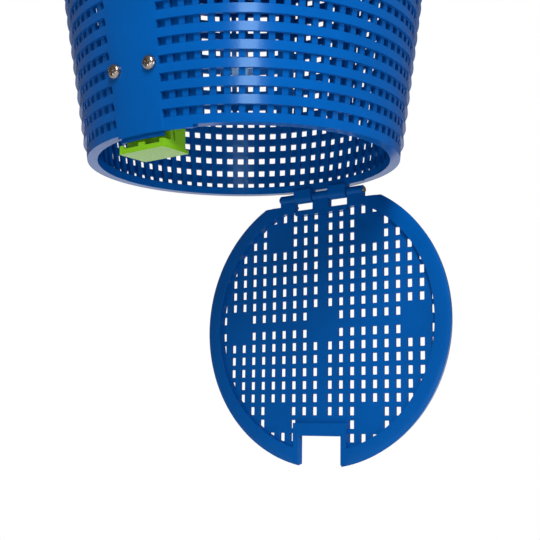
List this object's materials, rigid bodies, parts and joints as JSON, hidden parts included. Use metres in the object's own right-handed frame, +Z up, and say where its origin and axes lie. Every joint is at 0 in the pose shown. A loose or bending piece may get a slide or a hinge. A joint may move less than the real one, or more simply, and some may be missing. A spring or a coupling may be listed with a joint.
{
  "type": "top-entry crab trap",
  "caption": "Tapered perforated basket trap with entry funnel, drop-bottom door on a hinge, flexing latch, bait cage and carrying bail with a line eye.",
  "frame": {"origin": "centre of the line eye on top of the bail", "axes": "+Z up along the basket axis, -Y toward the latch side, +Y toward the door hinge, +X along the door hinge pin"},
  "size_m": [0.298, 0.327, 0.6221],
  "materials": {
    "basket_blue": "gloss injection-moulded polypropylene",
    "door_blue": "gloss injection-moulded polypropylene",
    "lime": "semi-gloss moulded plastic",
    "steel": "stainless steel",
    "grip_black": "satin moulded plastic"
  },
  "bodies": {
    "bail": {"bail_wire": "steel", "bail_grip": "grip_black", "line_eye": "steel"},
    "basket": {"bottom_rim": "basket_blue", "wall_bands": "basket_blue", "wall_ribs": "basket_blue", "latch_strip": "basket_blue", "top_rim": "basket_blue", "entry_funnel": "basket_blue", "funnel_screws": "steel", "bait_bridge": "basket_blue", "bait_cage": "basket_blue", "bait_lid_pin": "steel", "door_hinge_pin": "steel", "latch_root": "lime", "latch_screws": "steel", "latch_washers": "steel", "latch_nuts": "steel"},
    "door": {"door_frame": "door_blue", "door_grille": "door_blue"},
    "latch": {"latch_lever": "lime"},
    "bait_lid": {"bait_lid": "lime"}
  },
  "joints": [
    {"name": "bail_pivot", "type": "hinge", "parent": "bail", "child": "basket", "pos_m": [0, 0, -0.176], "axis": [0, 1, 0], "range_deg": [-100, 100]},
    {"name": "door_hinge", "type": "hinge", "parent": "basket", "child": "door", "pos_m": [0, 0.1024, -0.4001], "axis": [1, 0, 0], "range_deg": [-88, 27]},
    {"name": "latch_flex", "type": "hinge", "parent": "basket", "child": "latch", "pos_m": [0, -0.1047, -0.363], "axis": [-1, 0, 0], "range_deg": [0, 4.5], "stiffness_Nm_per_rad": 3},
    {"name": "bait_lid_hinge", "type": "hinge", "parent": "basket", "child": "bait_lid", "pos_m": [0, 0.0255, -0.2556], "axis": [1, 0, 0], "range_deg": [0, 100]}
  ]
}
